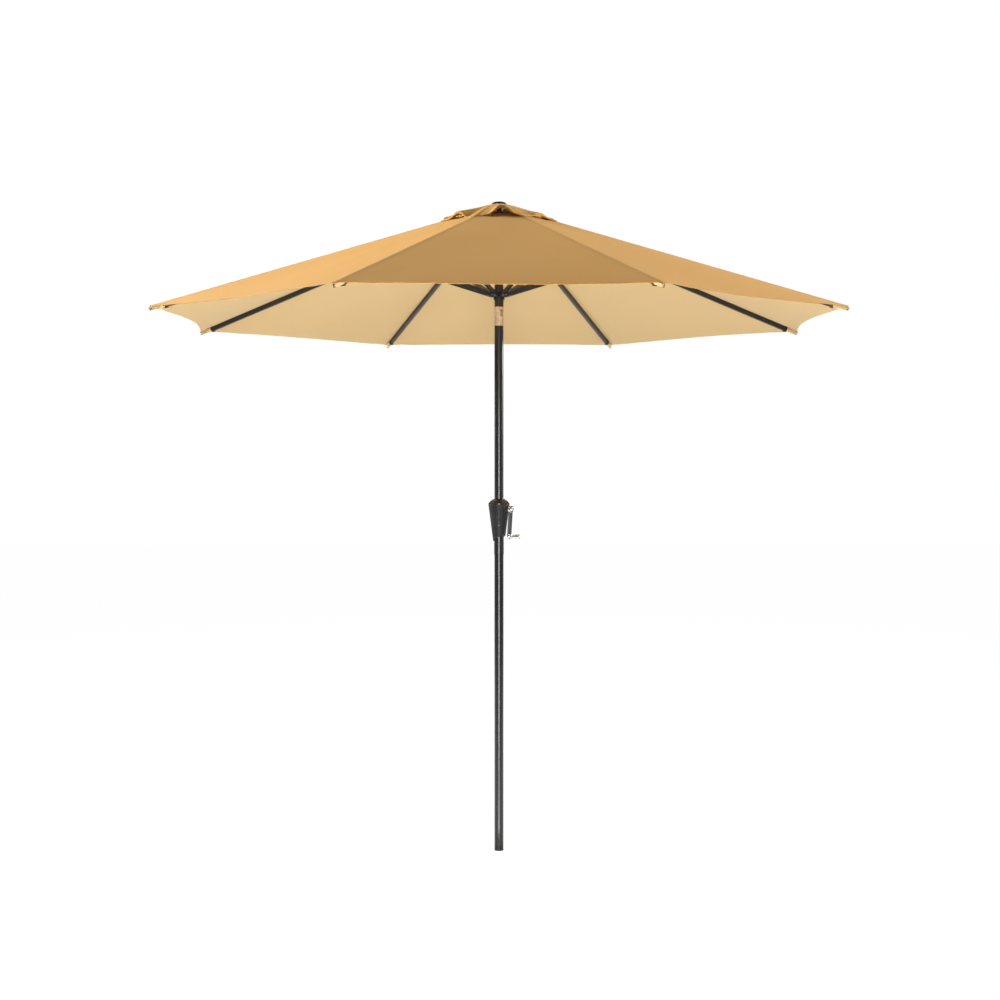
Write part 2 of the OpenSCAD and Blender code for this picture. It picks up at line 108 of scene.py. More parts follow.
def makeStudio(s):
    cam = bpy.data.cameras.new("camera")
    cam.lens = s["lens"]
    cam.sensor_width = s["sensor"]
    cam.shift_x, cam.shift_y = s["shiftX"], s["shiftY"]
    camera = bpy.data.objects.new("camera", cam)
    bpy.context.collection.objects.link(camera)
    camera.location = (0, -s["cameraDistance"], s["cameraHeight"])
    camera.rotation_euler = (math.radians(90), 0, 0)
    bpy.context.scene.camera = camera

    world = bpy.data.worlds.new("studio")
    bpy.context.scene.world = world
    world.use_nodes = True
    tree = world.node_tree
    background = tree.nodes["Background"]
    background.inputs["Color"].default_value = (1, 1, 1, 1)
    path = tree.nodes.new("ShaderNodeLightPath")
    strength = tree.nodes.new("ShaderNodeMix")
    strength.inputs["A"].default_value = s["roomLight"]
    strength.inputs["B"].default_value = s["backdropLight"]
    tree.links.new(path.outputs["Is Camera Ray"], strength.inputs["Factor"])
    tree.links.new(strength.outputs["Result"], background.inputs["Strength"])

    bpy.ops.mesh.primitive_plane_add(size=s["floorSize"], location=(0, 0, cadLow.z - s["floorGap"]))
    floor = bpy.context.object
    floor.name = "studio_floor"
    material = bpy.data.materials.new("pale_floor")
    material.use_nodes = True
    nodes, links = material.node_tree.nodes, material.node_tree.links
    shader = nodes["Principled BSDF"]
    shader.inputs["Base Color"].default_value = (s["floorGrey"], s["floorGrey"], s["floorGrey"], 1)
    shader.inputs["Roughness"].default_value = s["floorRoughness"]
    shader.inputs["Specular IOR Level"].default_value = 0.0
    glow = nodes.new("ShaderNodeEmission")
    glow.inputs["Strength"].default_value = s["floorLight"]
    floorPath = nodes.new("ShaderNodeLightPath")
    mix = nodes.new("ShaderNodeMixShader")
    share = nodes.new("ShaderNodeMath")
    share.operation = "MULTIPLY"
    share.inputs[1].default_value = s["floorGlow"]
    links.new(floorPath.outputs["Is Camera Ray"], share.inputs[0])
    links.new(share.outputs[0], mix.inputs["Fac"])
    links.new(shader.outputs[0], mix.inputs[1])
    links.new(glow.outputs[0], mix.inputs[2])
    links.new(mix.outputs[0], nodes["Material Output"].inputs["Surface"])
    floor.data.materials.append(material)

    for light in s["lights"]:
        areaLight(*light)
    bpy.context.scene.view_settings.view_transform = "Standard"


makeStudio(studio)
print("studio ready")


# shader groups shared by the finishes
def newGroup(name, sockets):
    group = bpy.data.node_groups.new(name, "ShaderNodeTree")
    for label, kind, direction, value in sockets:
        socket = group.interface.new_socket(name=label, in_out=direction, socket_type=kind)
        if value is not None:
            socket.default_value = value
    return group, group.nodes.new("NodeGroupInput"), group.nodes.new("NodeGroupOutput")


def node(tree, kind, **settings):
    made = tree.nodes.new(kind)
    for key, value in settings.items():
        if key in made.inputs:
            made.inputs[key].default_value = value
        else:
            setattr(made, key, value)
    return made


def weaveGroup():
    # plain weave: two sets of rounded threads, read from the cloth's own UV in metres
    group, start, end = newGroup("plain_weave", [
        ("Threads per metre", "NodeSocketFloat", "INPUT", 1400.0),
        ("Colour", "NodeSocketColor", "INPUT", (0.6, 0.4, 0.2, 1)),
        ("Dark thread", "NodeSocketColor", "INPUT", (0.4, 0.25, 0.1, 1)),
        ("Mottle", "NodeSocketFloat", "INPUT", 0.12),
        ("Cloth colour", "NodeSocketColor", "OUTPUT", None),
        ("Height", "NodeSocketFloat", "OUTPUT", None),
    ])
    links = group.links
    coords = node(group, "ShaderNodeUVMap", uv_map="cloth")
    scaled = node(group, "ShaderNodeVectorMath", operation="SCALE")
    links.new(coords.outputs["UV"], scaled.inputs[0])
    links.new(start.outputs["Threads per metre"], scaled.inputs["Scale"])
    split = node(group, "ShaderNodeSeparateXYZ")
    links.new(scaled.outputs[0], split.inputs[0])
    waves = []
    for axis in ("X", "Y"):
        turn = node(group, "ShaderNodeMath", operation="MULTIPLY")
        turn.inputs[1].default_value = math.pi
        links.new(split.outputs[axis], turn.inputs[0])
        wave = node(group, "ShaderNodeMath", operation="SINE")
        links.new(turn.outputs[0], wave.inputs[0])
        waves.append(wave)
    cross = node(group, "ShaderNodeMath", operation="MULTIPLY")
    links.new(waves[0].outputs[0], cross.inputs[0])
    links.new(waves[1].outputs[0], cross.inputs[1])
    height = node(group, "ShaderNodeMath", operation="MULTIPLY_ADD")
    height.inputs[1].default_value = 0.5
    height.inputs[2].default_value = 0.5
    links.new(cross.outputs[0], height.inputs[0])
    # long slubs along the threads and broad, faint unevenness of the dye
    stretch = node(group, "ShaderNodeMapping")
    stretch.inputs["Scale"].default_value = (260, 9, 1)
    links.new(coords.outputs["UV"], stretch.inputs["Vector"])
    slub = node(group, "ShaderNodeTexNoise", noise_dimensions="2D")
    slub.inputs["Scale"].default_value = 1.0
    links.new(stretch.outputs[0], slub.inputs["Vector"])
    broad = node(group, "ShaderNodeTexNoise", noise_dimensions="2D")
    broad.inputs["Scale"].default_value = 3.2
    broad.inputs["Detail"].default_value = 4.0
    links.new(coords.outputs["UV"], broad.inputs["Vector"])
    blend = node(group, "ShaderNodeMath", operation="MULTIPLY_ADD")
    blend.inputs[1].default_value = 0.5
    links.new(slub.outputs[0], blend.inputs[0])
    links.new(broad.outputs[0], blend.inputs[2])
    spread = node(group, "ShaderNodeMapRange")
    spread.inputs["From Min"].default_value = 0.5
    spread.inputs["From Max"].default_value = 1.0
    links.new(blend.outputs[0], spread.inputs["Value"])
    amount = node(group, "ShaderNodeMath", operation="MULTIPLY")
    links.new(spread.outputs[0], amount.inputs[0])
    links.new(start.outputs["Mottle"], amount.inputs[1])
    gap = node(group, "ShaderNodeMath", operation="MULTIPLY_ADD")
    gap.inputs[1].default_value = -0.12
    gap.inputs[2].default_value = 0.12
    links.new(height.outputs[0], gap.inputs[0])
    share = node(group, "ShaderNodeMath", operation="ADD")
    share.use_clamp = True
    links.new(amount.outputs[0], share.inputs[0])
    links.new(gap.outputs[0], share.inputs[1])
    mix = node(group, "ShaderNodeMix", data_type="RGBA")
    links.new(share.outputs[0], mix.inputs["Factor"])
    links.new(start.outputs["Colour"], mix.inputs[6])
    links.new(start.outputs["Dark thread"], mix.inputs[7])
    links.new(mix.outputs[2], end.inputs["Cloth colour"])
    links.new(height.outputs[0], end.inputs["Height"])
    return group


def grainGroup():
    # fine moulding or powder-coat grain with soft broad variation, in object space; convex edges shift to the
    # second colour, partly wear and partly a painted edge highlight
    group, start, end = newGroup("surface_grain", [
        ("Grain per metre", "NodeSocketFloat", "INPUT", 1200.0),
        ("Colour", "NodeSocketColor", "INPUT", (0.02, 0.02, 0.02, 1)),
        ("Edge highlight and wear colour", "NodeSocketColor", "INPUT", (0.05, 0.05, 0.05, 1)),
        ("Roughness", "NodeSocketFloat", "INPUT", 0.4),
        ("Roughness spread", "NodeSocketFloat", "INPUT", 0.1),
        ("Surface colour", "NodeSocketColor", "OUTPUT", None),
        ("Surface roughness", "NodeSocketFloat", "OUTPUT", None),
        ("Height", "NodeSocketFloat", "OUTPUT", None),
    ])
    links = group.links
    coords = node(group, "ShaderNodeTexCoord")
    fine = node(group, "ShaderNodeTexNoise")
    links.new(coords.outputs["Object"], fine.inputs["Vector"])
    links.new(start.outputs["Grain per metre"], fine.inputs["Scale"])
    broad = node(group, "ShaderNodeTexNoise")
    broad.inputs["Scale"].default_value = 14.0
    broad.inputs["Detail"].default_value = 5.0
    links.new(coords.outputs["Object"], broad.inputs["Vector"])
    # convex edges, found by pointiness, lighten on the dark finishes: painted edge highlight as well as wear
    edge = node(group, "ShaderNodeNewGeometry")
    edgeHighlightAndWear = node(group, "ShaderNodeMapRange")
    edgeHighlightAndWear.inputs["From Min"].default_value = 0.53
    edgeHighlightAndWear.inputs["From Max"].default_value = 0.62
    edgeHighlightAndWear.inputs["To Max"].default_value = 0.5
    links.new(edge.outputs["Pointiness"], edgeHighlightAndWear.inputs["Value"])
    soft = node(group, "ShaderNodeMapRange")
    soft.inputs["From Min"].default_value = 0.35
    soft.inputs["From Max"].default_value = 0.75
    soft.inputs["To Max"].default_value = 0.3
    links.new(broad.outputs[0], soft.inputs["Value"])
    both = node(group, "ShaderNodeMath", operation="ADD")
    both.use_clamp = True
    links.new(edgeHighlightAndWear.outputs[0], both.inputs[0])
    links.new(soft.outputs[0], both.inputs[1])
    mix = node(group, "ShaderNodeMix", data_type="RGBA")
    links.new(both.outputs[0], mix.inputs["Factor"])
    links.new(start.outputs["Colour"], mix.inputs[6])
    links.new(start.outputs["Edge highlight and wear colour"], mix.inputs[7])
    centred = node(group, "ShaderNodeMath", operation="SUBTRACT")
    centred.inputs[1].default_value = 0.5
    links.new(broad.outputs[0], centred.inputs[0])
    rough = node(group, "ShaderNodeMath", operation="MULTIPLY_ADD")
    links.new(centred.outputs[0], rough.inputs[0])
    links.new(start.outputs["Roughness spread"], rough.inputs[1])
    links.new(start.outputs["Roughness"], rough.inputs[2])
    links.new(mix.outputs[2], end.inputs["Surface colour"])
    links.new(rough.outputs[0], end.inputs["Surface roughness"])
    links.new(fine.outputs[0], end.inputs["Height"])
    return group


plainWeave = weaveGroup()
surfaceGrain = grainGroup()


def grainFinish(name, colour, edgeHighlightAndWear, roughness, spread, grain, bump, metallic=0.0, coat=0.0, specular=0.5):
    material = bpy.data.materials.new(name)
    material.use_nodes = True
    tree = material.node_tree
    shader = tree.nodes["Principled BSDF"]
    shader.inputs["Metallic"].default_value = metallic
    shader.inputs["Coat Weight"].default_value = coat
    shader.inputs["Specular IOR Level"].default_value = specular
    shader.inputs["Coat Roughness"].default_value = 0.15
    skin = node(tree, "ShaderNodeGroup", node_tree=surfaceGrain)
    skin.inputs["Grain per metre"].default_value = grain
    skin.inputs["Colour"].default_value = (*colour, 1)
    skin.inputs["Edge highlight and wear colour"].default_value = (*edgeHighlightAndWear, 1)
    skin.inputs["Roughness"].default_value = roughness
    skin.inputs["Roughness spread"].default_value = spread
    bumped = node(tree, "ShaderNodeBump")
    bumped.inputs["Strength"].default_value = bump
    bumped.inputs["Distance"].default_value = 0.0002
    tree.links.new(skin.outputs["Surface colour"], shader.inputs["Base Color"])
    tree.links.new(skin.outputs["Surface roughness"], shader.inputs["Roughness"])
    tree.links.new(skin.outputs["Height"], bumped.inputs["Height"])
    tree.links.new(bumped.outputs[0], shader.inputs["Normal"])
    return material


# colour, edge highlight and wear colour, roughness, its spread, grain per metre, bump
finishes = {
    "pole_enamel": grainFinish("pole_enamel", (0.005, 0.005, 0.0052), (0.009, 0.009, 0.009),
                               0.34, 0.06, 2200, 0.03, coat=0.55, specular=0.25),
    "rib_enamel": grainFinish("rib_enamel", (0.007, 0.006, 0.006), (0.02, 0.02, 0.02),
                              0.42, 0.12, 1800, 0.15),
    "black_plastic": grainFinish("black_plastic", (0.012, 0.012, 0.0125), (0.024, 0.024, 0.024),
                                 0.52, 0.08, 1500, 0.25, specular=0.14),
    "gloss_black_plastic": grainFinish("gloss_black_plastic", (0.004, 0.004, 0.004), (0.012, 0.012, 0.012),
                                       0.16, 0.06, 900, 0.04, coat=0.4),
    "crank_chrome": grainFinish("crank_chrome", (0.90, 0.90, 0.91), (0.78, 0.78, 0.78),
                                0.07, 0.05, 300, 0.02, metallic=1.0),
    "tan_plastic": grainFinish("tan_plastic", (0.325, 0.218, 0.108), (0.50, 0.36, 0.21),
                               0.42, 0.10, 1500, 0.2),
    "spring_steel": grainFinish("spring_steel", (0.62, 0.62, 0.63), (0.75, 0.75, 0.75),
                                0.28, 0.14, 1600, 0.1, metallic=1.0),
    "cord": grainFinish("cord", (0.70, 0.69, 0.66), (0.52, 0.51, 0.48),
                        0.8, 0.1, 2600, 0.9),
}
finish = {row["node"]: row["material_slot"] for row in frame["record"]["subparts"]}
for name, made in frame["nodes"].items():
    if finish[name] in finishes:
        made.data.materials.clear()
        made.data.materials.append(finishes[finish[name]])
print("finishes on the carried-over nodes")


# cloth finishes
def clothFinish(name, colour, dark, threads, translucency, mottle, sheen=0.2, through=(0.92, 0.78, 0.52)):
    material = bpy.data.materials.new(name)
    material.use_nodes = True
    tree = material.node_tree
    shader = tree.nodes["Principled BSDF"]
    shader.inputs["Roughness"].default_value = 0.86
    shader.inputs["Specular IOR Level"].default_value = 0.25
    shader.inputs["Sheen Weight"].default_value = sheen
    shader.inputs["Sheen Roughness"].default_value = 0.5
    weave = node(tree, "ShaderNodeGroup", node_tree=plainWeave)
    weave.inputs["Threads per metre"].default_value = threads
    weave.inputs["Colour"].default_value = (*colour, 1)
    weave.inputs["Dark thread"].default_value = (*dark, 1)
    weave.inputs["Mottle"].default_value = mottle
    bumped = node(tree, "ShaderNodeBump")
    bumped.inputs["Strength"].default_value = 0.25
    bumped.inputs["Distance"].default_value = 0.0003
    tree.links.new(weave.outputs["Cloth colour"], shader.inputs["Base Color"])
    tree.links.new(weave.outputs["Height"], bumped.inputs["Height"])
    tree.links.new(bumped.outputs[0], shader.inputs["Normal"])
    tint = node(tree, "ShaderNodeMix", data_type="RGBA")
    tint.inputs["Factor"].default_value = 0.7
    tint.inputs[7].default_value = (*through, 1)
    tree.links.new(weave.outputs["Cloth colour"], tint.inputs[6])
    glow = node(tree, "ShaderNodeBsdfTranslucent")
    tree.links.new(tint.outputs[2], glow.inputs["Color"])
    mix = node(tree, "ShaderNodeMixShader")
    mix.inputs["Fac"].default_value = translucency
    tree.links.new(shader.outputs[0], mix.inputs[1])
    tree.links.new(glow.outputs[0], mix.inputs[2])
    tree.links.new(mix.outputs[0], tree.nodes["Material Output"].inputs["Surface"])
    return material


# colour, dark thread, threads per metre, light let through, mottle
canopyCloth = clothFinish("canopy_cloth", (0.66, 0.345, 0.062), (0.50, 0.245, 0.042), 900, 0.14, 0.14,
                          sheen=0.05, through=(0.9, 0.62, 0.30))
# paler copy of the canopy cloth for the undersides and the yoke: painted light, standing for the light let
# through the cloth
litUndersideCloth = clothFinish("canopy_underside_painted_light", (0.58, 0.42, 0.20), (0.47, 0.32, 0.15), 900, 0.16, 0.10, sheen=0.1)
tapeCloth = clothFinish("tape_cloth", (0.66, 0.45, 0.22), (0.48, 0.31, 0.14), 1100, 0.2, 0.12)
threadFinish = grainFinish("sewing_thread", (0.70, 0.50, 0.27), (0.56, 0.38, 0.19), 0.7, 0.1, 3000, 0.5)


# canopy
canopy = {
    "hubHeight": 2.455,
    "pivotRadius": 0.033,
    "drop": math.radians(18.2),
    "clothAbovePivots": 0.0302,   # middle of the cloth above the line of rib pivots
    "vent": 0.185,
    "corner": 1.350,
    "scallop": 0.052,
    "sag": 0.019,
    "skin": 0.00045,              # half the cloth's thickness
    "seamHalf": 0.0065,           # half width of the felled seam over a rib
    "seamRise": 0.0007,
    "hemWidth": 0.026,
    "hemRise": 0.0006,
    "rows": 46,
    "wingColumns": 13,
    "keep": 0.20,                 # how far the wings gather when it is folded
}


def ribAzimuth(i):
    return halfStep + ribStep * (i - 1)


def ribHeight(r, c=canopy):
    above = c["clothAbovePivots"] / math.cos(c["drop"])
    crown = c["hubHeight"] + above + c["pivotRadius"] * math.tan(c["drop"])
    return crown - r * math.tan(c["drop"])


def panelPlace(azimuth):
    # rib just before, and how far round the panel: 0 on one rib, 1 on the next
    turn = (azimuth - halfStep) / ribStep
    before = math.floor(turn)
    return before, turn - before


def unevenness(s, azimuth):
    # slack between the ribs, a few tension folds from the corners and the vent: no two panels alike
    panel, across = panelPlace(azimuth)
    k = panel % ribCount
    u = 1 - abs(2 * across - 1)
    bow = u * (2 - u)
    wide = 0.0022 * math.sin(1.9 * k + 2.2) * bow * math.sin(math.pi * min(max(s, 0), 1))
    skew = 0.0016 * math.sin(2.6 * k + 0.7) * math.sin(2 * math.pi * across) * s
    low = 0.0014 * bow * math.sin(7.0 * s + 1.3 * k + 3.0 * across)
    side = 1 if across > 0.5 else -1
    corner = math.exp(-((1 - s) / 0.16) ** 2) * math.exp(-((u - 0.16) / 0.12) ** 2)
    folds = 0.0016 * corner * math.sin(44 * u + side * 0.8 + 1.7 * k)
    collar = 0.0012 * bow * math.exp(-(s / 0.10) ** 2) * math.sin(5 * math.pi * across + k)
    return wide + skew + low + folds + collar


def clothPoint(s, azimuth, c=canopy):
    panel, across = panelPlace(azimuth)
    u = 1 - abs(2 * across - 1)
    offset = u * halfStep
    r = c["vent"] + (c["corner"] - c["vent"]) * s
    bow = u * (2 - u)
    chord = r * math.cos(halfStep) / math.cos(halfStep - offset)
    pull = c["scallop"] * bow * max(s, 0) ** 3
    out = chord - pull
    lift = pull * math.tan(c["drop"]) / math.cos(halfStep)
    z = ribHeight(r) + lift - c["sag"] * bow * max(s, 0) ** 1.5 + unevenness(s, azimuth)
    return Vector((out * math.cos(azimuth), out * math.sin(azimuth), z))


def wingAngles(r, c=canopy):
    # column angles from the rib to the middle of a panel, the seam kept at one width
    half = c["seamHalf"]
    seam = [math.asin(min(d / r, 0.3)) for d in (0.0, half * 0.85, half, half + 0.0012)]
    rest = c["wingColumns"] - 3
    return seam + [seam[-1] + (halfStep - seam[-1]) * k / rest for k in range(1, rest + 1)]


def gridNormal(place, i, j):
    along = place(i + 1, j) - place(i - 1, j)
    across = place(i, j + 1) - place(i, j - 1)
    n = along.cross(across)
    return n.normalized() if n.length > 1e-12 else Vector((0, 0, 1))


def clothShell(name, rows, columns, place, above, below, flatUv, material, litUnderside=None):
    mesh = bpy.data.meshes.new(name)
    points, normals, faces, flat = [], [], [], []
    for side, rise in ((1, above), (-1, below)):
        for i in range(rows):
            for j in range(columns):
                n = gridNormal(place, i, j)
                points.append(place(i, j) + n * side * rise(i, j))
                normals.append(n * side)
                flat.append(flatUv(i, j))
    under = rows * columns

    def top(i, j):
        return i * columns + j

    def bottom(i, j):
        return under + top(i, j)

    for i in range(rows - 1):
        for j in range(columns - 1):
            faces.append((top(i, j), top(i + 1, j), top(i + 1, j + 1), top(i, j + 1)))
            faces.append((bottom(i, j), bottom(i, j + 1), bottom(i + 1, j + 1), bottom(i + 1, j)))
    skinFaces = len(faces)
    for j in range(columns - 1):
        faces.append((top(0, j), top(0, j + 1), bottom(0, j + 1), bottom(0, j)))
        faces.append((top(rows - 1, j + 1), top(rows - 1, j), bottom(rows - 1, j), bottom(rows - 1, j + 1)))
    for i in range(rows - 1):
        faces.append((top(i + 1, 0), top(i, 0), bottom(i, 0), bottom(i + 1, 0)))
        end = columns - 1
        faces.append((top(i, end), top(i + 1, end), bottom(i + 1, end), bottom(i, end)))
    mesh.from_pydata(points, [], faces)
    layer = mesh.uv_layers.new(name="cloth")
    loopNormals = []
    for polygon in mesh.polygons:
        polygon.use_smooth = True
        for corner in polygon.loop_indices:
            vertex = mesh.loops[corner].vertex_index
            layer.data[corner].uv = flat[vertex]
            loopNormals.append(normals[vertex] if polygon.index < skinFaces else polygon.normal.copy())
    mesh.normals_split_custom_set(loopNormals)
    mesh.materials.append(material)
    if litUnderside:
        mesh.materials.append(litUnderside)
        # the underside faces take the second, paler material: painted light let through the cloth
        for k in range(1, skinFaces, 2):
            mesh.polygons[k].material_index = 1
    made = bpy.data.objects.new(name, mesh)
    bpy.context.collection.objects.link(made)
    return made


def gatherWith(obj, i, keep):
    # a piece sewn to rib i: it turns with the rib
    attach(obj, f"rib_{i}")
    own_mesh(obj)


def goreRows(c=canopy):
    # even rows, then the folded hem and its edge
    length = c["corner"] - c["vent"]
    hemStart = 1 - c["hemWidth"] / length
    even = [hemStart * k / (c["rows"] - 6) for k in range(c["rows"] - 5)]
    return even + [hemStart + 0.0012 / length, hemStart + (1 - hemStart) * 0.5, 1 - 0.0015 / length, 1.0]


def buildGore(i, c=canopy):
    rows = goreRows(c)
    middle = ribAzimuth(i)
    wing = c["wingColumns"]
    columns = 2 * wing + 1
    step = rows[1] - rows[0]

    def spot(row, column):
        s = rows[0] - step * 0.5 if row < 0 else 1 + 0.004 if row >= len(rows) else rows[row]
        r = c["vent"] + (c["corner"] - c["vent"]) * s
        angles = wingAngles(r)
        k = column - wing
        if abs(k) > wing:
            turn = 2 * halfStep - angles[wing - 1]
        else:
            turn = angles[abs(k)]
        return s, middle + (turn if k >= 0 else -turn)

    def place(row, column):
        return clothPoint(*spot(row, column))

    def above(row, column):
        rise = c["skin"]
        if abs(column - wing) <= 2:
            rise += c["seamRise"]
        if row > c["rows"] - 6:
            rise += c["hemRise"]
        return rise * (0.55 if row == len(rows) - 1 else 1.0)

    def below(row, column):
        rise = c["skin"] + (c["hemRise"] * 0.5 if row > c["rows"] - 6 else 0)
        return rise * (0.55 if row == len(rows) - 1 else 1.0)

    def flatUv(row, column):
        s, azimuth = spot(row, column)
        r = c["vent"] + (c["corner"] - c["vent"]) * s
        return (r * math.tan(azimuth - middle) + 2.1 * i, r / math.cos(c["drop"]) + 0.37 * i)

    gore = clothShell(f"canopy_cloth_{i}", len(rows), columns, place, above, below, flatUv,
                      canopyCloth, litUndersideCloth)
    slope = (c["corner"] - c["vent"]) / math.cos(c["drop"])
    wide = 2 * c["corner"] * math.tan(halfStep) * math.cos(halfStep)
    # area on plan, less what the scallop takes from the hem
    whole = math.sin(2 * halfStep) / 2 * (c["corner"] ** 2 - c["vent"] ** 2)
    plan = whole - wide * c["scallop"] * 2 / 3
    return gore, (round(wide, 3), round(slope, 3)), round(plan / math.cos(c["drop"]), 4)


for i in range(1, ribCount + 1):
    gore, flat, area = buildGore(i)
    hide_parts(f"canopy_gore_{i}")
    gatherWith(gore, i, canopy["keep"])
print("canopy cloth")


# vent cap: one sector sewn over each rib, and a round centre under the finial
vent = {
    "centreHeight": 2.4997,
    "centreFlat": 0.030,
    "centreEdge": 0.056,
    "corner": 0.238,
    "cornerRise": 0.0042,         # above the main cloth at a corner
    "bulge": 0.004,
    "skin": 0.0005,
    "valance": 0.012,             # how far the free edge turns down
    "rows": 26,
    "columns": 33,
    "keep": 0.5,
    # for each panel, from the first rib on: rise of its free edge, where it peaks, how wide it is open
    "arches": [(0.026, 0.46, 0.25), (0.046, 0.42, 0.30), (0.025, 0.52, 0.24), (0.023, 0.50, 0.27),
               (0.026, 0.47, 0.23), (0.044, 0.60, 0.25), (0.026, 0.55, 0.22), (0.023, 0.50, 0.26)],
}


def archAt(azimuth, v=vent):
    panel, across = panelPlace(azimuth)
    rise, peak, width = v["arches"][panel % ribCount]
    window = math.sin(math.pi * min(max(across, 0), 1)) ** 0.6
    ripple = 0.10 * math.exp(-((across - 0.16) / 0.07) ** 2)
    ripple += 0.07 * math.exp(-((across - 0.9) / 0.05) ** 2)
    return rise * window * (math.exp(-abs((across - peak) / width) ** 2.6) + ripple)


def capPoint(r, azimuth, v=vent):
    panel, across = panelPlace(azimuth)
    offset = (1 - abs(2 * across - 1)) * halfStep
    straight = min(max(r / 0.11, 0), 1)
    chord = math.cos(halfStep) / math.cos(halfStep - offset)
    t = max(r - v["centreFlat"], 0) / (v["corner"] - v["centreFlat"])
    edge = ribHeight(v["corner"]) + v["cornerRise"]
    bow = 1 - (2 * across - 1) ** 2
    pinch = 0.0035 * bow * math.sin(9 * across + panel) * t
    z = v["centreHeight"] + (edge - v["centreHeight"]) * t + v["bulge"] * math.sin(math.pi * min(t, 1.05))
    z += archAt(azimuth) * t ** 2.2 + pinch
    out = r * (1 + (chord - 1) * straight) - 0.010 * bow * t ** 3
    return Vector((out * math.cos(azimuth), out * math.sin(azimuth), z))


def buildCapSector(i, v=vent):
    middle = ribAzimuth(i)
    half = (v["columns"] - 1) // 2
    last = v["rows"] - 1
    turned = 4

    def radius(row):
        main = last - turned
        if row <= main:
            return v["centreEdge"] + (v["corner"] - v["centreEdge"]) * row / main
        return v["corner"]

    def place(row, column):
        azimuth = middle + halfStep * (column - half) / half
        spot = capPoint(radius(row), azimuth)
        drop = max(row - (last - turned), 0) / turned
        if drop:
            # the free edge turns down over a small roll, most where it stands clear of the main cloth
            open_ = min(archAt(azimuth) / 0.03, 1)
            fall = (0.0025 + (v["valance"] - 0.0025) * open_) * drop
            away = 0.003 * math.sin(drop * math.pi / 2)
            spot = spot + Vector((away * math.cos(azimuth), away * math.sin(azimuth), -fall * drop))
        return spot

    def rise(row, column):
        return v["skin"] * (1.0 if row < last else 0.6)

    def flatUv(row, column):
        r = radius(row) + 0.003 * max(row - (last - turned), 0)
        return (r * math.tan(halfStep * (column - half) / half) + 1.7 * i, r)

    sector = clothShell(f"vent_sector_{i}", v["rows"], v["columns"], place, rise, rise, flatUv, canopyCloth)
    wide = 2 * v["corner"] * math.sin(halfStep) + 0.02
    long = v["corner"] - v["centreEdge"] + v["valance"] + 0.012
    return sector, (round(wide, 3), round(long, 3))


def buildCapCentre(v=vent):
    rings, around = 6, 64

    def place(row, column):
        r = 0.004 + v["centreEdge"] * row / (rings - 1)
        spot = capPoint(r, 2 * math.pi * column / around)
        return spot - Vector((0, 0, 0.0001)) if row < rings - 1 else spot - Vector((0, 0, 0.0006))

    def rise(row, column):
        return 0.0004

    def flatUv(row, column):
        p = place(row, column)
        return (p.x, p.y)

    return clothShell("vent_centre", rings, around + 1, place, rise, rise, flatUv, canopyCloth)


for i in range(1, ribCount + 1):
    sector, flat = buildCapSector(i)
    measured = sum(p.area for p in sector.data.polygons) / 2
    gatherWith(sector, i, vent["keep"])
centre = buildCapCentre()
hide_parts("vent_cap")
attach(centre, "head")
print("vent cap")


# yoke: the second layer round the vent, under the main cloth
yoke = {
    "inner": 0.178,
    "outer": 0.345,
    "below": 0.0016,              # under the middle of the main cloth
    "skin": 0.0004,
    "rows": 12,
    "columns": 21,
    "keep": 0.42,
}


def buildYoke(i, y=yoke, c=canopy):
    middle = ribAzimuth(i)
    half = (y["columns"] - 1) // 2

    def place(row, column):
        r = y["inner"] + (y["outer"] - y["inner"]) * row / (y["rows"] - 1)
        across = (column - half) / half
        s = (r - c["vent"]) / (c["corner"] - c["vent"])
        turn = math.copysign(abs(across) ** 1.5, across) * halfStep
        return clothPoint(s, middle + turn) - Vector((0, 0, y["below"]))

    def rise(row, column):
        return y["skin"]

    def flatUv(row, column):
        p = place(row, column)
        return (p.x * math.sin(middle) - p.y * math.cos(middle), math.hypot(p.x, p.y))

    # the yoke is seen from below and wears the paler underside copy: painted light
    made = clothShell(f"vent_yoke_{i}", y["rows"], y["columns"], place, rise, rise, flatUv, litUndersideCloth)
    wide = 2 * y["outer"] * math.sin(halfStep)
    long = (y["outer"] - y["inner"]) / math.cos(c["drop"])
    return made, (round(wide, 3), round(long, 3))


for i in range(1, ribCount + 1):
    piece, flat = buildYoke(i)
    measured = sum(p.area for p in piece.data.polygons) / 2
    gatherWith(piece, i, yoke["keep"])
    area = round(min(measured, flat[0] * flat[1]), 4)
print("vent yoke")


# corner pockets over the rib tips
pocket = {
    "start": 1.3235,              # along the rib from its hub pivot
    "end": 1.3800,
    "bottom": 0.0125,
    "top": 0.0292,
    "halfStart": 0.0098,
    "halfEnd": 0.0072,
    "wall": 0.0009,
    "flange": 0.0085,             # sewn margin on each side
    "around": 28,
}


def alongRib(i, x, y, z, c=canopy):
    azimuth = ribAzimuth(i)
    out = c["pivotRadius"] + x * math.cos(c["drop"]) + z * math.sin(c["drop"])
    up = c["hubHeight"] - x * math.sin(c["drop"]) + z * math.cos(c["drop"])
    ca, sa = math.cos(azimuth), math.sin(azimuth)
    return Vector((out * ca - y * sa, out * sa + y * ca, up))


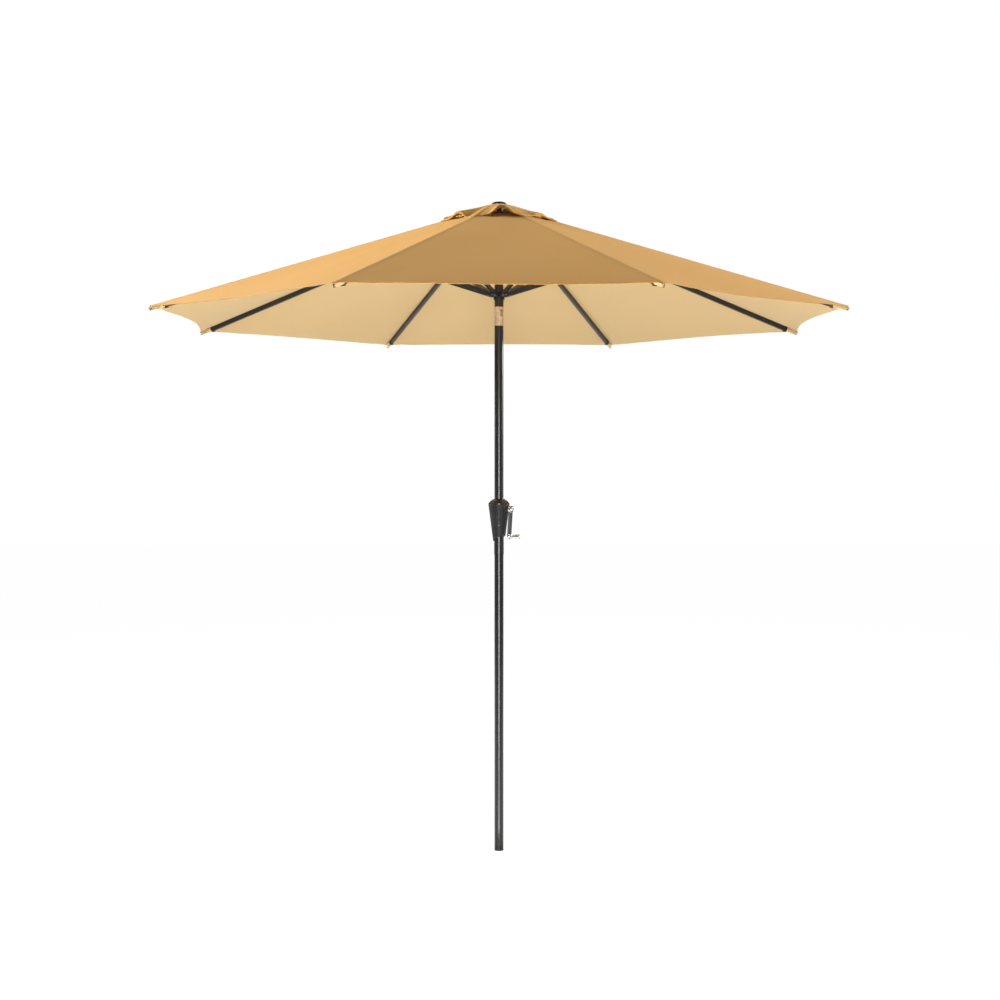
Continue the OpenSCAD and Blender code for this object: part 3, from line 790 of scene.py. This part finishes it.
def buildPocket(i, q=pocket):
    mesh = bpy.data.meshes.new(f"corner_pocket_{i}")
    rings, uvs = [], []
    length = q["end"] - q["start"]
    stations = [0, 0.04, 0.2, 0.4, 0.6, 0.78, 0.9, 0.96, 1.0]
    profile = [(t, 1.0) for t in stations] + [(t, 0.0) for t in reversed(stations[:-1])]
    for t, outer in profile:
        closing = 1 - max((t - 0.78) / 0.22, 0) ** 2 * 0.62
        half = (q["halfStart"] + (q["halfEnd"] - q["halfStart"]) * t) * closing
        middleHeight = (q["bottom"] + q["top"]) / 2 + 0.0012 * t
        tall = (q["top"] - q["bottom"]) / 2 * closing * (1 + 0.05 * math.sin(9 * t + i))
        if not outer:
            half, tall = half - q["wall"], tall - q["wall"]
        ring = []
        for k in range(q["around"]):
            a = 2 * math.pi * k / q["around"]
            ca, sa = math.cos(a), math.sin(a)
            y = half * math.copysign(abs(ca) ** 0.62, ca)
            z = tall * math.copysign(abs(sa) ** 0.62, sa)
            if outer and sa > 0.62:
                # the margin folded out flat under the main cloth
                y += q["flange"] * (1 - 0.55 * t) * ca * 1.25
            y += 0.0004 * math.sin(5 * a + 11 * t + i)
            z -= 0.10 * abs(y) * (sa > 0)
            ring.append(alongRib(i, q["start"] + length * t, y, middleHeight + z))
        rings.append(ring)
    points = [p for ring in rings for p in ring]
    n = q["around"]
    faces = []
    for r in range(len(rings)):
        after = (r + 1) % len(rings)    # the inner wall comes back to the first ring and closes the rim
        for k in range(n):
            faces.append((r * n + k, after * n + k, after * n + (k + 1) % n, r * n + (k + 1) % n))
    mesh.from_pydata(points, [], faces)
    bm = bmesh.new()
    bm.from_mesh(mesh)
    bmesh.ops.recalc_face_normals(bm, faces=bm.faces)
    layer = bm.loops.layers.uv.new("cloth")
    for face in bm.faces:
        for loop in face.loops:
            ring, k = divmod(loop.vert.index, n)
            loop[layer].uv = (0.06 * k / n, length * profile[ring][0])
        face.smooth = True
    bm.to_mesh(mesh)
    bm.free()
    mesh.materials.append(tapeCloth)
    made = bpy.data.objects.new(mesh.name, mesh)
    bpy.context.collection.objects.link(made)
    return made


for i in range(1, ribCount + 1):
    piece = buildPocket(i)
    measured = sum(p.area for p in piece.data.polygons) / 2
    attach(piece, f"rib_{i}")
    area = round(min(measured, 0.0051), 5)
print("corner pockets")


# stitching
stitching = {
    "pitch": 0.0050,
    "length": 0.0036,
    "thickness": 0.00055,
    "proud": 0.0001,              # of the cloth's face
    "seamLine": 0.0046,           # either side of a rib
    "hemLines": (0.0035, 0.0215),
    "ventLine": 0.0060,
    "capLine": 0.0090,
}


def stitchTree():
    tree = bpy.data.node_groups.new("stitches", "GeometryNodeTree")
    face = tree.interface
    face.new_socket(name="Geometry", in_out="INPUT", socket_type="NodeSocketGeometry")
    ids = {}
    for label, kind in (("Length", "Float"), ("Thickness", "Float"), ("Thread", "Material")):
        socket = face.new_socket(name=label, in_out="INPUT", socket_type=f"NodeSocket{kind}")
        ids[label.lower()] = socket.identifier
    face.new_socket(name="Geometry", in_out="OUTPUT", socket_type="NodeSocketGeometry")
    start, end = tree.nodes.new("NodeGroupInput"), tree.nodes.new("NodeGroupOutput")
    bead = tree.nodes.new("GeometryNodeMeshUVSphere")
    bead.inputs["Segments"].default_value = 6
    bead.inputs["Rings"].default_value = 4
    bead.inputs["Radius"].default_value = 0.5
    size = tree.nodes.new("ShaderNodeCombineXYZ")
    along = tree.nodes.new("GeometryNodeInputNamedAttribute")
    along.data_type = "FLOAT_VECTOR"
    along.inputs["Name"].default_value = "along"
    up = tree.nodes.new("GeometryNodeInputNamedAttribute")
    up.data_type = "FLOAT_VECTOR"
    up.inputs["Name"].default_value = "up"
    lie = tree.nodes.new("FunctionNodeAlignRotationToVector")
    lie.axis = "X"
    stand = tree.nodes.new("FunctionNodeAlignRotationToVector")
    stand.axis, stand.pivot_axis = "Z", "X"
    place = tree.nodes.new("GeometryNodeInstanceOnPoints")
    real = tree.nodes.new("GeometryNodeRealizeInstances")
    paint = tree.nodes.new("GeometryNodeSetMaterial")
    links = tree.links
    links.new(start.outputs["Length"], size.inputs["X"])
    links.new(start.outputs["Thickness"], size.inputs["Y"])
    links.new(start.outputs["Thickness"], size.inputs["Z"])
    links.new(along.outputs["Attribute"], lie.inputs["Vector"])
    links.new(lie.outputs["Rotation"], stand.inputs["Rotation"])
    links.new(up.outputs["Attribute"], stand.inputs["Vector"])
    links.new(start.outputs["Geometry"], place.inputs["Points"])
    links.new(bead.outputs["Mesh"], place.inputs["Instance"])
    links.new(stand.outputs["Rotation"], place.inputs["Rotation"])
    links.new(size.outputs["Vector"], place.inputs["Scale"])
    links.new(place.outputs["Instances"], real.inputs["Geometry"])
    links.new(real.outputs["Geometry"], paint.inputs["Geometry"])
    links.new(start.outputs["Thread"], paint.inputs["Material"])
    links.new(paint.outputs["Geometry"], end.inputs["Geometry"])
    return tree, ids


stitchNodes, stitchIds = stitchTree()


def stitchRow(path, rise, pitch):
    # evenly spaced places along a path given as a function of 0..1
    steps = 400
    line = [path(k / steps) for k in range(steps + 1)]
    run, spots, want = 0.0, [], pitch / 2
    for (a, normal), (b, _) in zip(line, line[1:]):
        gap = (b - a).length
        while gap > 0 and want <= run + gap:
            spots.append((a.lerp(b, (want - run) / gap) + normal * rise, (b - a).normalized(), normal))
            want += pitch
        run += gap
    return spots


def sewn(name, spots, q=stitching):
    mesh = bpy.data.meshes.new(name)
    mesh.from_pydata([p for p, a, n in spots], [], [])
    for label, column in (("along", 1), ("up", 2)):
        attribute = mesh.attributes.new(label, "FLOAT_VECTOR", "POINT")
        attribute.data.foreach_set("vector", [x for spot in spots for x in spot[column]])
    holder = bpy.data.objects.new(name, mesh)
    bpy.context.collection.objects.link(holder)
    modifier = holder.modifiers.new("stitches", "NODES")
    modifier.node_group = stitchNodes
    modifier[stitchIds["length"]] = q["length"]
    modifier[stitchIds["thickness"]] = q["thickness"]
    modifier[stitchIds["thread"]] = threadFinish
    depsgraph = bpy.context.evaluated_depsgraph_get()
    real = bpy.data.meshes.new_from_object(holder.evaluated_get(depsgraph))
    bpy.data.objects.remove(holder)
    made = bpy.data.objects.new(name, real)
    bpy.context.collection.objects.link(made)
    return made


def onCloth(s, azimuth):
    d, t = 0.002, 0.002
    p = clothPoint(s, azimuth)
    across = clothPoint(s, azimuth + t) - clothPoint(s, azimuth - t)
    return p, (clothPoint(s + d, azimuth) - p).cross(across).normalized()


def stitchGore(i, q=stitching, c=canopy):
    length = c["corner"] - c["vent"]
    middle = ribAzimuth(i)
    spots = []
    for side in (-1, 1):
        def seam(t, side=side):
            s = 0.004 + 0.985 * t
            r = c["vent"] + length * s
            return onCloth(s, middle + side * math.asin(q["seamLine"] / r))
        spots += stitchRow(seam, c["skin"] + c["seamRise"] + q["proud"], q["pitch"])
    for inset in q["hemLines"]:
        def hem(t, inset=inset):
            return onCloth(1 - inset / length, middle + halfStep * (2 * t - 1))
        spots += stitchRow(hem, c["skin"] + c["hemRise"] + q["proud"], q["pitch"])

    def collar(t):
        return onCloth(q["ventLine"] / length, middle + halfStep * (2 * t - 1))
    spots += stitchRow(collar, c["skin"] + q["proud"], q["pitch"])
    return sewn(f"canopy_stitches_{i}", spots)


def stitchCap(i, q=stitching, v=vent):
    middle = ribAzimuth(i)

    def on(r, azimuth):
        p = capPoint(r, azimuth)
        across = capPoint(r, azimuth + 0.01) - capPoint(r, azimuth - 0.01)
        return p, (capPoint(r + 0.002, azimuth) - p).cross(across).normalized()

    def edge(t):
        return on(v["corner"] - q["capLine"], middle + halfStep * (2 * t - 1))
    spots = stitchRow(edge, v["skin"] + q["proud"], q["pitch"])
    for side in (-1, 1):
        def seam(t, side=side):
            r = 0.062 + (v["corner"] - 0.064) * t
            return on(r, middle + side * math.asin(q["seamLine"] / r))
        spots += stitchRow(seam, v["skin"] + q["proud"], q["pitch"])
    return sewn(f"vent_stitches_{i}", spots)


for i in range(1, ribCount + 1):
    gatherWith(stitchGore(i), i, canopy["keep"])
    gatherWith(stitchCap(i), i, vent["keep"])
print("stitching")
